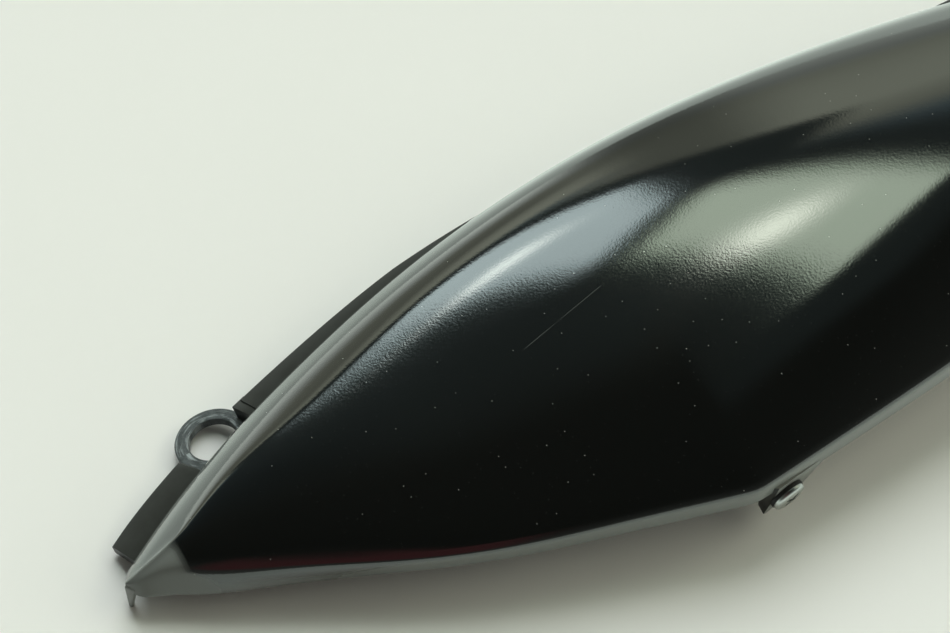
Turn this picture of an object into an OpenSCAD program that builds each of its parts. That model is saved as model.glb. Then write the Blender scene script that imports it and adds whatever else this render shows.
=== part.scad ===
// A long side panel for a motorcycle, lying face up. All lengths are in millimetres.
// X runs from the nose to the rear, Y towards the flange and Z up. The origin is the middle of the eyelet.

/* [Shell] */
// Length from the nose to the rear end
panel_length = 420; // [380:1:460]
// Greatest width across the two long edges
panel_width = 124; // [112:1:136]
// Height of the crown above what the panel rests on
panel_height = 49.8; // [46:0.1:54]
// Thickness of the moulded wall
wall = 2.6; // [2.2:0.1:3]
// Radius of the fold between the dome and the lower side wall
fold_radius = 3; // [2.6:0.1:4]
// How full the dome stays towards the lower side wall
fullness = 0.75; // [0.6:0.01:0.85]
// How softly the two sweeps of the lower edge meet at the kink
kink_softness = 0.4; // [0.2:0.1:2]

/* [Flange and eyelet] */
// Width of the flange beside the nose
flange_width = 11.8; // [8:0.1:13]
// Thickness of the flange
flange_thick = 2.7; // [2:0.1:3.5]
// How far the flange slopes down and outwards
flange_slope = 24; // [20:1:27]
// Where the eyelet sits along the upper edge
eyelet_at = 44.7; // [43.5:0.1:46]
// How far the middle of the eyelet is from the upper edge
eyelet_reach = 6.3; // [6:0.1:6.8]
// How far the eyelet's top is below the upper edge
eyelet_drop = 7; // [6.5:0.1:7.4]
// How far the eyelet slopes down and outwards
eyelet_slope = 11; // [8:1:14]
// Radius of the eyelet's hole
eyelet_hole_r = 7.3; // [6.6:0.1:7.5]
// Width of the eyelet's ring around the hole
eyelet_ring = 4.1; // [3:0.1:4.6]

/* [Screw] */
// Where the screw sits along the lower edge
screw_at = 171.9; // [169:0.1:176]
// How far the screw's middle is below the foot of the side wall
screw_drop = 5.3; // [4:0.1:6]
// Radius of the screw's thread
thread_r = 2.5; // [2:0.1:3]
// Radius of the screw's head
screw_head_r = 5.1; // [4.5:0.1:5.6]
// Height of the screw's head
screw_head_h = 1.7; // [1.4:0.1:2.8]
// Length of the screw's shank
shank_length = 13; // [10:0.5:18]
// Thickness of the rubber washer under the head
washer_thick = 1.2; // [0.8:0.1:2]
// Thickness of the retaining washer behind the tab
retainer_thick = 1.2; // [0.8:0.1:2]
// Gap around the screw in its hole
screw_gap = 0.3; // [0.2:0.05:0.5]

/* [Pegs and prong] */
// Radius of the round pegs that push into rubber grommets
peg_r = 4; // [3:0.1:5]
// Free length of a peg below its boss
peg_length = 16; // [12:0.5:20]
// Where the two pegs sit along the panel
pegs_at = 322; // [310:1:335]
// Distance between the two pegs
peg_spacing = 40; // [34:1:44]
// Width of the prong under the nose
prong_width = 3.2; // [2.5:0.1:4]
// Thickness of the prong
prong_thick = 2; // [1.6:0.1:2.4]

/* [Ribs] */
// Thickness of the stiffening ribs
rib_thick = 1.8; // [1.4:0.1:2.2]
// Depth of the ribs below the dome
rib_depth = 7; // [5:0.5:9]

/* [Hidden] */
$fn = 48;

long = panel_length / 420;
wide = panel_width / 124;
high = panel_height / 49.8;

// Each line is drawn through points [distance from the nose, value], and is smooth between them.
function sweep(p, i, c, d) =
  i == len(p) - 1 ? [c, d] :
  let (
    a = p[i][0] - p[i - 1][0],
    b = p[i + 1][0] - p[i][0],
    m = 2 * (a + b) - a * c[i - 1],
    r = 6 * ((p[i + 1][1] - p[i][1]) / b - (p[i][1] - p[i - 1][1]) / a)
  )
  sweep(p, i + 1, concat(c, [b / m]), concat(d, [(r - a * d[i - 1]) / m]));
function back(c, d, i, k) = i < 0 ? k : back(c, d, i - 1, concat([d[i] - c[i] * k[0]], k));
function line(p) = let (s = sweep(p, 1, [0], [0])) [p, back(s[0], s[1], len(p) - 2, [0])];
function spot(p, x, i = 0) = i >= len(p) - 2 || x < p[i + 1][0] ? i : spot(p, x, i + 1);
function along(l, x) =
  let (
    p = l[0],
    i = spot(p, x),
    h = p[i + 1][0] - p[i][0],
    a = (p[i + 1][0] - x) / h,
    b = 1 - a
  )
  a * p[i][1] + b * p[i + 1][1] + ((pow(a, 3) - a) * l[1][i] + (pow(b, 3) - b) * l[1][i + 1]) * h * h / 6;

// The upper edge in plan and in height
rim_out = line([[0, 3.6], [12, 10.8], [35, 22.5], [70, 35.6], [112, 47.6], [150, 54], [188, 56.2], [240, 52.8], [299, 43.2], [360, 30], [420, 14]]);
rim_up = line([[0, 8], [60, 14.1], [142, 21.4], [220, 27.7], [300, 33], [360, 34.5], [420, 33]]);

// The lower edge in plan, in two sweeps that meet at the kink
front_sweep = line([[0, -1], [11, -4.2], [18, -8.6], [30, -15.8], [44, -23.4], [64, -34.4], [91, -46.6], [128, -58.5], [164, -69.6], [200, -80], [420, -140]]);
rear_sweep = line([[0, -79], [120, -72], [176, -67.5], [230, -62.8], [300, -53], [360, -41], [420, -25]]);

// Heights of the fold and of the foot of the side wall, and how far the foot leans in
fold_up = line([[0, 9.6], [5, 13], [11, 15.6], [20, 16.4], [42, 17.4], [106, 21.8], [161, 25.5], [228, 29.3], [300, 32.5], [360, 33.5], [420, 32]]);
foot_up = line([[0, 8], [26, 9.6], [79, 12.5], [162, 16.9], [230, 19.9], [300, 22.5], [360, 24], [420, 25]]);
foot_in = line([[0, -2], [8, -4], [18, -4], [30, -2.3], [44, -0.8], [64, 1.1], [91, 1.5], [164, 1.2], [420, 1.5]]);

// The crown of the dome
crown_out = line([[0, 0.5], [20, 1.5], [60, 2], [150, 6], [250, 0], [350, -3], [420, -6]]);
crown_up = line([[0, 10.5], [7, 14.8], [14, 18], [30, 21.3], [45, 23.8], [100, 31], [150, 38], [200, 44.8], [250, 50], [300, 52], [360, 48.5], [420, 37]]);

// The ridge above the steep band along the upper edge
ridge_in = line([[0, 1.6], [8, 6.5], [15, 9.5], [35, 10.8], [66, 11.5], [144, 9.5], [260, 8.5], [420, 9]]);
ridge_up = line([[0, 1.6], [8, 5.4], [15, 7.6], [45, 8.4], [144, 8.4], [260, 7], [420, 6]]);

nose_round = 3.5;
rear_round = 46;
// The ends are rounded in plan about the middle of the panel
function end_round(x) =
  x < nose_round ? sqrt(1 - 0.9 * pow(1 - x / nose_round, 2)) :
  x > 420 - rear_round ? sqrt(1 - 0.97 * pow(1 - (420 - x) / rear_round, 2)) : 1;
function softer(a, b, e) = (a + b) / 2 + sqrt(pow((a - b) / 2, 2) + e * e);
function fold_out(x) = softer(along(front_sweep, x), along(rear_sweep, x), kink_softness);
function middle(x) = (along(rim_out, x) + fold_out(x)) / 2;
function rounded(x, y) = (middle(x) + (y - middle(x)) * end_round(x)) * wide;
// The dome comes down over the last stretch at the rear
function rear_drop(x) = x > 420 - rear_round ? 1 - 0.8 * pow(1 - (420 - x) / rear_round, 3) : 1;

function rim(x) = [rounded(x, along(rim_out, x)), along(rim_up, x) * high];
function fold(x) = [rounded(x, fold_out(x)), (along(foot_up, x) + (along(fold_up, x) - along(foot_up, x)) * rear_drop(x)) * high];
function foot(x) = [rounded(x, fold_out(x) + along(foot_in, x)), along(foot_up, x) * high];
function ridge(x) = [
  rounded(x, along(rim_out, x) - along(ridge_in, x)),
  (along(rim_up, x) + along(ridge_up, x) * rear_drop(x)) * high
];
function crown(x) = [
  rounded(x, along(crown_out, x)),
  (along(rim_up, x) + (along(crown_up, x) - along(rim_up, x)) * rear_drop(x)) * high
];

function mix(a, b, t) = a + (b - a) * t;
function mix2(a, b, s, t) = [mix(a[0], b[0], s), mix(a[1], b[1], t)];
function towards(a, b, d) = a + (b - a) * min(d / norm(b - a), 0.45);

// One clamped cubic spline goes over the dome, from the upper edge to the fold
function over(c, t) =
  let (
    n = len(c) - 3,
    k = min(floor(t * n), n - 1),
    knots = [for (i = [0:n + 6]) max(0, min(i - 3, n))],
    u = t * n
  )
  climb([for (i = [0:3]) c[k + i]], knots, u, k + 3, 1);
function climb(c, knots, u, k, r) =
  r > 3 ? c[len(c) - 1] :
  climb([for (j = [0:len(c) - 2])
    let (i = k - 3 + r + j, w = (u - knots[i]) / (knots[i + 4 - r] - knots[i]))
    c[j] * (1 - w) + c[j + 1] * w], knots, u, k, r + 1);

function curve(a, b, c, t) = a * pow(1 - t, 2) + b * 2 * t * (1 - t) + c * t * t;

over_steps = 16;
fold_steps = 3;
// The points of the section at a distance from the nose, from the upper edge over the dome to the foot
function section(x) =
  let (
    a = rim(x),
    b = ridge(x),
    d = crown(x),
    f = fold(x),
    g = foot(x),
    e = mix2(f, d, 0.35, fullness),
    f1 = towards(f, e, fold_radius),
    f2 = towards(f, g, fold_radius),
    c = [a, mix2(a, b, 0.35, 0.5), b, mix2(b, d, 0.3, 0.5), d, e, f1]
  )
  concat(
    [for (i = [0:over_steps]) over(c, i / over_steps)],
    [for (i = [1:fold_steps]) curve(f1, f, f2, i / fold_steps)],
    [mix(f2, g, 0.5), g]
  );
columns = over_steps + fold_steps + 3;

function side(a, b) = [b[1] - a[1], a[0] - b[0]] / norm(b - a);
function crossing(a, u, b, v) = a + u * (((b - a)[0] * v[1] - (b - a)[1] * v[0]) / (u[0] * v[1] - u[1] * v[0]));
// The inner side of a section: moved in by a distance, with a tight fold, and cut level at the foot
function inside(s, t) =
  let (
    k = over_steps,
    l = k + fold_steps,
    f1 = s[k] - side(s[k - 1], s[k]) * t,
    f2 = s[l] - side(s[l], s[l + 1]) * t,
    q = crossing(f1, s[k] - s[k - 1], f2, s[l + 1] - s[l])
  )
  [for (i = [0:len(s) - 1])
    i == 0 ? s[0] - side(s[0], s[1]) * t :
    i == len(s) - 1 ? s[i] + [t / abs(side(s[i - 1], s[i])[0]), 0] :
    i >= k && i <= l ? curve(f1, q, f2, (i - k) / fold_steps) :
    let (n = side(s[i - 1], s[i]), m = side(s[i], s[i + 1])) s[i] - (n + m) * t / (1 + n * m)
  ];

nose_steps = 8;
long_steps = 40;
rear_steps = 7;
// Distances from the nose of the sections, closer together towards both ends
stations = concat(
  [for (i = [0:nose_steps - 1]) 22 * (1 - cos(90 * i / nose_steps))],
  [for (i = [0:long_steps]) 22 + i * (420 - 22 - rear_round) / long_steps],
  [for (i = [1:rear_steps]) 420 - rear_round + rear_round * sin(90 * i / rear_steps)]
);
rows = len(stations);
hollow_from = 19;
hollow_to = 420 - 12;
function within(x) = hollow_from + x * (hollow_to - hollow_from) / 420;

function spread(s, x) = [for (p = s) [x * long, p[0], p[1]]];
function both(a, b, c, d) = [[a, c, b], [a, d, c]];
function joined(l) = [for (a = l) for (b = a) b];

// The flat face of an end section, in pairs of triangles from one edge to the other
function end_face(k, out) = joined([for (j = [0:columns / 2 - 2])
  let (a = k + j, b = k + j + 1, c = k + columns - 2 - j, d = k + columns - 1 - j)
  out ? both(a, b, c, d) : both(a, d, c, b)]);

module shell() {
  outer = [for (x = stations) spread(section(x), x)];
  inner = [for (x = stations) spread(inside(section(within(x)), wall), within(x))];
  m = columns;
  n = rows * m;
  last = (rows - 1) * m;
  polyhedron(
    points = joined(concat(outer, inner)),
    faces = concat(
      joined([for (i = [0:rows - 2]) for (j = [0:m - 2])
        both(i * m + j, i * m + j + 1, (i + 1) * m + j + 1, (i + 1) * m + j)]),
      joined([for (i = [0:rows - 2]) for (j = [0:m - 2])
        both(n + i * m + j, n + (i + 1) * m + j, n + (i + 1) * m + j + 1, n + i * m + j + 1)]),
      joined([for (i = [0:rows - 2])
        both(i * m, (i + 1) * m, n + (i + 1) * m, n + i * m)]),
      joined([for (i = [0:rows - 2])
        both(i * m + m - 1, n + i * m + m - 1, n + (i + 1) * m + m - 1, (i + 1) * m + m - 1)]),
      end_face(0, false),
      end_face(last, true),
      end_face(n, true),
      end_face(n + last, false),
      both(0, n, n + m - 1, m - 1),
      both(last, last + m - 1, n + last + m - 1, n + last)
    )
  );
}

// The flange runs beside the upper edge, square to it
function edge_point(x) = [x * long, rim(x)[0], rim(x)[1]];
function edge_normal(x) = let (a = edge_point(x - 1), b = edge_point(x + 1), d = b - a) [-d[1], d[0], 0] / norm([d[0], d[1]]);
flange_start = 5.5;
flange_end = 396;
flange_root = 5.2;
// The nose end of the flange is cut askew
end_skew = -15;
flange_step = 0.5;
lip = -0.9;
gap_before = 33.6;
gap_after = 56.6;
// The flange narrows from the nose, runs out under the edge and comes back near the rear
flange_middle = 190;
narrows_to = 184;
runs_out_at = 148;
runs_out_by = 0.13;
rear_flange_at = 290;
rear_flange_rise = 0.25;
rear_flange_width = 3.5;
skewed_part = 14;
// How far the flange stands out of the upper edge
function flange_reach(x) =
  x > gap_before && x < gap_after ? lip :
  x < flange_middle ? max(lip, min(flange_width * (1 - x / narrows_to), runs_out_by * (runs_out_at - x))) :
  x > rear_flange_at ? min(rear_flange_width, (x - rear_flange_at) * rear_flange_rise + lip) : lip;
function flange_section(x) =
  let (
    p = edge_point(x),
    m = edge_normal(x),
    turn = end_skew * max(0, 1 - (x - flange_start) / skewed_part),
    n = [m[0] * cos(turn) - m[1] * sin(turn), m[1] * cos(turn) + m[0] * sin(turn), 0],
    s = n * cos(flange_slope) - [0, 0, sin(flange_slope)],
    t = n * sin(flange_slope) + [0, 0, cos(flange_slope)],
    top = p - [0, 0, flange_step],
    r = flange_reach(x),
    w = min(0.5, flange_thick / 4)
  )
  [
    top - s * flange_root,
    top + s * (r - w),
    top + s * r - t * w,
    top + s * r - t * (flange_thick - w),
    top + s * (r - w) - t * flange_thick,
    top - s * flange_root - t * flange_thick
  ];
flange_stations = concat(
  [for (i = [0:5]) flange_start + i * (gap_before - flange_start) / 5],
  [gap_before + 0.3, (gap_before + gap_after) / 2, gap_after - 0.3],
  [for (i = [0:12]) gap_after + i * (flange_middle - gap_after) / 12],
  [for (i = [1:5]) flange_middle + i * (rear_flange_at - flange_middle) / 5],
  [for (i = [1:8]) rear_flange_at + i * (flange_end - rear_flange_at) / 8]
);
module flange() {
  rings = [for (x = flange_stations) flange_section(x)];
  n = len(rings);
  polyhedron(
    points = joined(rings),
    faces = concat(
      joined([for (i = [0:n - 2]) for (j = [0:5])
        both(i * 6 + j, (i + 1) * 6 + j, (i + 1) * 6 + (j + 1) % 6, i * 6 + (j + 1) % 6)]),
      [for (j = [1:4]) [0, j + 1, j]],
      [for (j = [1:4]) [(n - 1) * 6, (n - 1) * 6 + j, (n - 1) * 6 + j + 1]]
    )
  );
}

// The eyelet lies lower and flatter than the flange
eyelet_edge = edge_point(eyelet_at);
eyelet_normal = edge_normal(eyelet_at);
eyelet_turn = atan2(eyelet_normal[1], eyelet_normal[0]);
eyelet_axis = eyelet_normal * sin(eyelet_slope) + [0, 0, cos(eyelet_slope)];
eyelet_middle = eyelet_edge - [0, 0, eyelet_drop] + eyelet_normal * eyelet_reach - eyelet_axis * flange_thick / 2;
module at_eyelet() {
  translate(eyelet_middle)
    rotate([0, 0, eyelet_turn])
      rotate([0, eyelet_slope, 0])
        children();
}
// A web carries the ring from each end of the flange, and a wall carries it from under the upper edge
web_thick = 3;
web_depth = 2.4;
module web(x) {
  n = edge_normal(x);
  translate(edge_point(x) - [0, 0, flange_step])
    rotate([0, 0, atan2(n[1], n[0])])
      rotate([0, flange_slope, 0])
        translate([-flange_root + 1, -web_thick / 2, -flange_thick - web_depth])
          cube([flange_root + flange_reach(gap_before) - 2, web_thick, flange_thick + web_depth - 0.4]);
}
module eyelet_ring() {
  at_eyelet()
    cylinder(r = eyelet_hole_r + eyelet_ring, h = flange_thick, center = true);
  translate(eyelet_edge - [0, 0, eyelet_drop + flange_thick / 2])
    rotate([0, 0, eyelet_turn])
      translate([eyelet_reach - eyelet_hole_r - 3.4, -eyelet_hole_r, 0])
        cube([2.2, 2 * eyelet_hole_r, eyelet_drop + flange_thick / 2 + 0.8]);
  web(gap_before - 0.6);
  web(gap_after + 0.8);
}
module flange_with_eyelet() {
  difference() {
    union() {
      flange();
      eyelet_ring();
    }
    at_eyelet()
      cylinder(r = eyelet_hole_r, h = 5 * flange_thick, center = true);
  }
}

// The tab is a tapering ear below the side wall, flush with it and leaning as it does
tab_thick = 3;
tab_lean = 9;
tab_turn = -82;
tab_top = -screw_drop - 3;
// Its outline on the outer and on the inner face, as distances down and along from the screw
tab_outer = [[tab_top, -4.4], [-0.5, -4.6], [8, -6], [8.8, -5], [4.6, 6.8], [-3.6, 12], [tab_top, 13.4]];
tab_inner = [[tab_top, -7.5], [2, -6.9], [7.6, -5.6], [8.4, -4.7], [4.4, 6.6], [-3.6, 11.8], [tab_top, 13.2]];
screw_foot = foot(screw_at);
screw_middle = [screw_at * long, screw_foot[0] + 0.25, screw_foot[1] - screw_drop];
// Z points out of the tab, from its outer face, and X points down
module at_screw() {
  translate(screw_middle)
    rotate([0, 0, tab_turn])
      rotate([0, 90 + tab_lean, 0])
        children();
}
module tab() {
  difference() {
    at_screw()
      hull() {
        translate([0, 0, -0.2])
          linear_extrude(height = 0.2)
            polygon(tab_outer);
        translate([0, 0, -tab_thick])
          linear_extrude(height = 0.2)
            polygon(tab_inner);
      }
    at_screw()
      cylinder(r = thread_r + screw_gap, h = 4 * tab_thick, center = true);
  }
}

// A peg hangs from a boss under the dome and reaches down to the level of the prong
module peg(y) {
  translate([pegs_at * long, y, 0]) {
    cylinder(r1 = peg_r - 1, r2 = peg_r, h = peg_tip);
    translate([0, 0, peg_tip])
      cylinder(r = peg_r, h = peg_length - peg_tip + 0.5);
  }
  intersection() {
    translate([pegs_at * long, y, peg_length])
      cylinder(r = peg_r + boss_wall, h = panel_height);
    rib(pegs_at, 4 * peg_r, panel_height);
  }
}
peg_tip = 2;
boss_wall = 1.8;
peg_shift = 6.2;
peg_middle = middle(pegs_at) * wide + peg_shift;
module pegs() {
  peg(peg_middle + peg_spacing / 2);
  peg(peg_middle - peg_spacing / 2);
}

// The prong tapers down from the solid nose to the level of the pegs
module prong() {
  hull() {
    translate([1 * long, -0.2 * wide, 9 * high])
      rotate([0, 0, -58])
        cube([prong_width, prong_thick, 1], center = true);
    translate([0, -0.6 * wide, 0.5])
      rotate([0, 0, -58])
        cube([prong_width * 0.4, prong_thick * 0.7, 1], center = true);
  }
}

// A rib hangs from inside the wall of the dome at one section
module rib(x, thick, depth) {
  roof = inside(section(x), wall * 0.45);
  first = 4;
  last = over_steps - 2;
  loop = concat(
    [for (j = [first:last]) roof[j]],
    [for (j = [last:-1:first]) roof[j] - [0, wall * 0.6 + depth]]
  );
  translate([x * long - thick / 2, 0, 0])
    rotate([90, 0, 90])
      linear_extrude(height = thick)
        polygon(loop);
}
ribs_at = [118, 214, 274];
module ribs() {
  for (x = ribs_at)
    rib(x, rib_thick, rib_depth);
  rib(pegs_at, rib_thick + 0.6, 1.5 * rib_depth);
}

module side_panel() {
  color([0.02, 0.02, 0.022])
    to_origin()
      union() {
        shell();
        flange_with_eyelet();
        tab();
        pegs();
        prong();
        ribs();
      }
}

module cross_recess() {
  depth = screw_head_h * 0.6;
  translate([0, 0, washer_thick + screw_head_h - depth / 2 + 0.2])
    for (turn = [45, 135])
      rotate([0, 0, turn])
        cube([screw_head_r * 1.05, 1.2, depth + 0.4], center = true);
}
module mounting_screw() {
  color([0.72, 0.73, 0.72])
    to_origin()
      at_screw()
        difference() {
          union() {
            translate([0, 0, washer_thick])
              cylinder(r = screw_head_r, h = screw_head_h * 0.45);
            translate([0, 0, washer_thick + screw_head_h * 0.45])
              cylinder(r1 = screw_head_r, r2 = screw_head_r * 0.78, h = screw_head_h * 0.55);
            translate([0, 0, washer_thick - shank_length])
              cylinder(r = thread_r, h = shank_length + 0.5);
            translate([0, 0, washer_thick - shank_length - 1])
              cylinder(r1 = thread_r * 0.6, r2 = thread_r, h = 1);
          }
          cross_recess();
        }
}

module rubber_washer() {
  color([0.03, 0.03, 0.03])
    to_origin()
      at_screw()
        difference() {
          cylinder(r = screw_head_r + 0.3, h = washer_thick);
          cylinder(r = thread_r + screw_gap / 2, h = 3 * washer_thick, center = true);
        }
}

module retaining_washer() {
  color([0.75, 0.75, 0.7])
    to_origin()
      at_screw()
        translate([0, 0, -tab_thick - retainer_thick])
          difference() {
            cylinder(r = screw_head_r, h = retainer_thick);
            cylinder(r = thread_r, h = 3 * retainer_thick, center = true);
          }
}

peg_middle_height = (peg_tip + peg_length) / 2;
module to_origin() {
  translate(-eyelet_middle)
    children();
}

echo(eyelet_middle = eyelet_middle);
echo(pegs = [for (k = [1, -1]) [pegs_at * long, peg_middle + k * peg_spacing / 2, peg_middle_height] - eyelet_middle]);
echo(eyelet_axis = eyelet_axis);

side_panel();
mounting_screw();
rubber_washer();
retaining_washer();
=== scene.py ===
# %% [markdown]
# A long, glossy side panel for a motorcycle lies face up on a pale floor.
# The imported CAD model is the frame: it fixes where every piece is and how
# large it is. This script builds finer pieces in the same place, paints them,
# lights them and takes the picture. The guide lines are in millimetres, as
# they are on a drawing of such a part, and Blender gets metres.

# %% Set up
import math
import bpy
import bmesh
import numpy as np
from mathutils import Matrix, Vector


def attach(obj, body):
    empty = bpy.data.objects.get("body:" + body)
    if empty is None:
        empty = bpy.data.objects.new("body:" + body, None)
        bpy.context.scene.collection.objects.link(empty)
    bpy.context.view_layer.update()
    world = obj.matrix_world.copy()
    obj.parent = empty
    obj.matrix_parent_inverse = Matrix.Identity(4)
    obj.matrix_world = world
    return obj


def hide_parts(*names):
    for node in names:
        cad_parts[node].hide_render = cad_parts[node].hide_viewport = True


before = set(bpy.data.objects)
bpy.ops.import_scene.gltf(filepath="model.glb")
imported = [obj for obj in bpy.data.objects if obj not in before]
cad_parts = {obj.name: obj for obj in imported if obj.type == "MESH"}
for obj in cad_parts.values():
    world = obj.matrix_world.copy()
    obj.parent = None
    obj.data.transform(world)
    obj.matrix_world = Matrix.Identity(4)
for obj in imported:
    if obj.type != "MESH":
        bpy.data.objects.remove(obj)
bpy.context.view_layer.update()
print("nodes:", sorted(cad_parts))

# %% [markdown]
# These are the sizes of the CAD model. A size is written once, here, so that
# a changed size moves everything that depends on it. The panel is measured
# from its nose, as a maker would measure it on a bench, and every finished
# point is then moved by the place of the eyelet's middle.

# %% Sizes
LENGTH = 420.0
WALL = 2.6
FOLD_RADIUS = 3.0
FULLNESS = 0.75
KINK = 0.4
NOSE_ROUND = 3.5
REAR_ROUND = 46.0
HOLLOW = (19.0, 408.0)
FLANGE_WIDTH = 11.8
FLANGE_THICK = 2.7
FLANGE_SLOPE = math.radians(24)
FLANGE_ROOT = 5.2
FLANGE_STEP = 0.5
FLANGE_ENDS = (5.5, 396.0)
END_SKEW = math.radians(-15)
LIP = -0.9
GAP = (33.6, 56.6)
EYELET_AT = 44.7
EYELET_REACH = 6.3
EYELET_DROP = 7.0
EYELET_SLOPE = math.radians(11)
EYELET_HOLE = 7.3
EYELET_RING = 4.1
SCREW_AT = 171.9
SCREW_DROP = 5.3
THREAD_R = 2.5
HEAD_R = 5.1
HEAD_H = 1.7
SHANK = 13.0
WASHER = 1.2
RETAINER = 1.2
TAB_THICK = 3.0
TAB_LEAN = math.radians(9)
TAB_TURN = math.radians(-82)
PEG_R = 4.0
PEG_TIP = 2.0
PEG_SHIFT = 6.2
PEG_LENGTH = 16.0
PEGS_AT = 322.0
PEG_SPACING = 40.0
RIB_THICK = 1.8
RIB_DEPTH = 7.0
RIBS_AT = (118.0, 214.0, 274.0)
print("panel:", LENGTH, "mm long, wall", WALL, "mm")

# %% [markdown]
# A panel like this is shaped in clay or on a screen from a few long guide
# lines: the two edges, the fold, the crown and the ridge. They could be bezier
# curves drawn by hand. Here each line is a smooth curve through a few measured
# points, given as distance from the nose and value, because then the shell can
# be cut anywhere and never shows a flat.

# %% A guide line
def guide(points):
    """A natural cubic curve through the points, as a function of distance."""
    x, y = np.array(points, float).T
    h = np.diff(x)
    n = len(x)
    m = np.eye(n)
    r = np.zeros(n)
    for i in range(1, n - 1):
        m[i, i - 1], m[i, i], m[i, i + 1] = h[i - 1], 2 * (h[i - 1] + h[i]), h[i]
        r[i] = 6 * ((y[i + 1] - y[i]) / h[i] - (y[i] - y[i - 1]) / h[i - 1])
    bend = np.linalg.solve(m, r)

    def along(at):
        i = int(np.clip(np.searchsorted(x, at, side="right") - 1, 0, n - 2))
        a = (x[i + 1] - at) / h[i]
        b = 1 - a
        curl = (a ** 3 - a) * bend[i] + (b ** 3 - b) * bend[i + 1]
        return a * y[i] + b * y[i + 1] + curl * h[i] ** 2 / 6
    return along

# %% The guide lines of the panel
rim_out = guide([
    [0, 3.6], [12, 10.8], [35, 22.5], [70, 35.6], [112, 47.6], [150, 54], [188, 56.2],
    [240, 52.8], [299, 43.2], [360, 30], [420, 14],
])
rim_up = guide([[0, 8], [60, 14.1], [142, 21.4], [220, 27.7], [300, 33], [360, 34.5], [420, 33]])
front_sweep = guide([
    [0, -1], [11, -4.2], [18, -8.6], [30, -15.8], [44, -23.4], [64, -34.4], [91, -46.6],
    [128, -58.5], [164, -69.6], [200, -80], [420, -140],
])
rear_sweep = guide([
    [0, -79], [120, -72], [176, -67.5], [230, -62.8], [300, -53], [360, -41], [420, -25],
])
fold_up = guide([
    [0, 9.6], [5, 13], [11, 15.6], [20, 16.4], [42, 17.4], [106, 21.8], [161, 25.5],
    [228, 29.3], [300, 32.5], [360, 33.5], [420, 32],
])
foot_up = guide([
    [0, 8], [26, 9.6], [79, 12.5], [162, 16.9], [230, 19.9], [300, 22.5], [360, 24], [420, 25],
])
foot_in = guide([
    [0, -2], [8, -4], [18, -4], [30, -2.3], [44, -0.8], [64, 1.1], [91, 1.5], [164, 1.2],
    [420, 1.5],
])
crown_out = guide([[0, 0.5], [20, 1.5], [60, 2], [150, 6], [250, 0], [350, -3], [420, -6]])
crown_up = guide([
    [0, 10.5], [7, 14.8], [14, 18], [30, 21.3], [45, 23.8], [100, 31], [150, 38], [200, 44.8],
    [250, 50], [300, 52], [360, 48.5], [420, 37],
])
ridge_in = guide([
    [0, 1.6], [8, 6.5], [15, 9.5], [35, 10.8], [66, 11.5], [144, 9.5], [260, 8.5], [420, 9],
])
ridge_up = guide([[0, 1.6], [8, 5.4], [15, 7.6], [45, 8.4], [144, 8.4], [260, 7], [420, 6]])
print("highest point of the crown:", round(max(crown_up(x) for x in range(0, 420, 5)), 1), "mm")

# %% [markdown]
# The lower edge is two sweeps that meet at the kink above the screw. One curve
# through all the points would round the kink off. Taking the larger of the two
# sweeps, with a small softening, gives it its tight but real radius. The nose
# and the rear are rounded by narrowing the panel about its middle line.

# %% The lower edge and the rounded ends
def end_round(x):
    if x < NOSE_ROUND:
        return math.sqrt(1 - 0.9 * (1 - x / NOSE_ROUND) ** 2)
    if x > LENGTH - REAR_ROUND:
        return math.sqrt(1 - 0.97 * (1 - (LENGTH - x) / REAR_ROUND) ** 2)
    return 1.0


def fold_out(x):
    a, b = front_sweep(x), rear_sweep(x)
    return (a + b) / 2 + math.hypot((a - b) / 2, KINK)


def middle(x):
    return (rim_out(x) + fold_out(x)) / 2


def rounded(x, y):
    return middle(x) + (y - middle(x)) * end_round(x)


def rear_drop(x):
    return 1 - 0.8 * (1 - (LENGTH - x) / REAR_ROUND) ** 3 if x > LENGTH - REAR_ROUND else 1.0


def rim(x):
    return np.array([rounded(x, rim_out(x)), rim_up(x)])


def fold(x):
    return np.array([rounded(x, fold_out(x)), foot_up(x) + (fold_up(x) - foot_up(x)) * rear_drop(x)])


def foot(x):
    return np.array([rounded(x, fold_out(x) + foot_in(x)), foot_up(x)])


def ridge(x):
    return np.array([rounded(x, rim_out(x) - ridge_in(x)), rim_up(x) + ridge_up(x) * rear_drop(x)])


def crown(x):
    return np.array([rounded(x, crown_out(x)), rim_up(x) + (crown_up(x) - rim_up(x)) * rear_drop(x)])


print("widest:", round(max(rim(x)[0] - fold(x)[0] for x in range(10, 410, 5)), 1), "mm")

# %% [markdown]
# At each distance from the nose the dome is one clamped cubic curve over the
# guide lines, which starts and ends on them. The fold is a short round corner,
# and the side wall runs straight down from it. A plain arc would be quicker,
# but it has no ridge, and the ridge is what the light shows first.

# %% How much each control point counts
def clamped_weights(count):
    """How much each of the seven control points counts at each step."""
    knots = [0, 0, 0, 0, 1, 2, 3, 4, 4, 4, 4]
    rows = []
    for t in np.linspace(0, 4, count + 1):
        k = min(int(t), 3)
        basis = np.zeros(10)
        basis[k + 3] = 1
        for degree in (1, 2, 3):
            new = np.zeros(10)
            for i in range(10 - degree):
                left = knots[i + degree] - knots[i]
                right = knots[i + degree + 1] - knots[i + 1]
                if left:
                    new[i] += (t - knots[i]) / left * basis[i]
                if right:
                    new[i] += (knots[i + degree + 1] - t) / right * basis[i + 1]
            basis = new
        rows.append(basis[:7])
    return np.array(rows)

# %% The outline of one section
FULL_SIDE = 0.35
RIDGE_PULL = np.array([0.35, 0.5])
CROWN_PULL = np.array([0.3, 0.5])


def toward(a, b, d):
    return a + (b - a) * min(d / np.linalg.norm(b - a), 0.45)


def corner(a, b, c, t):
    return a * (1 - t) ** 2 + b * 2 * t * (1 - t) + c * t * t


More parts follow.
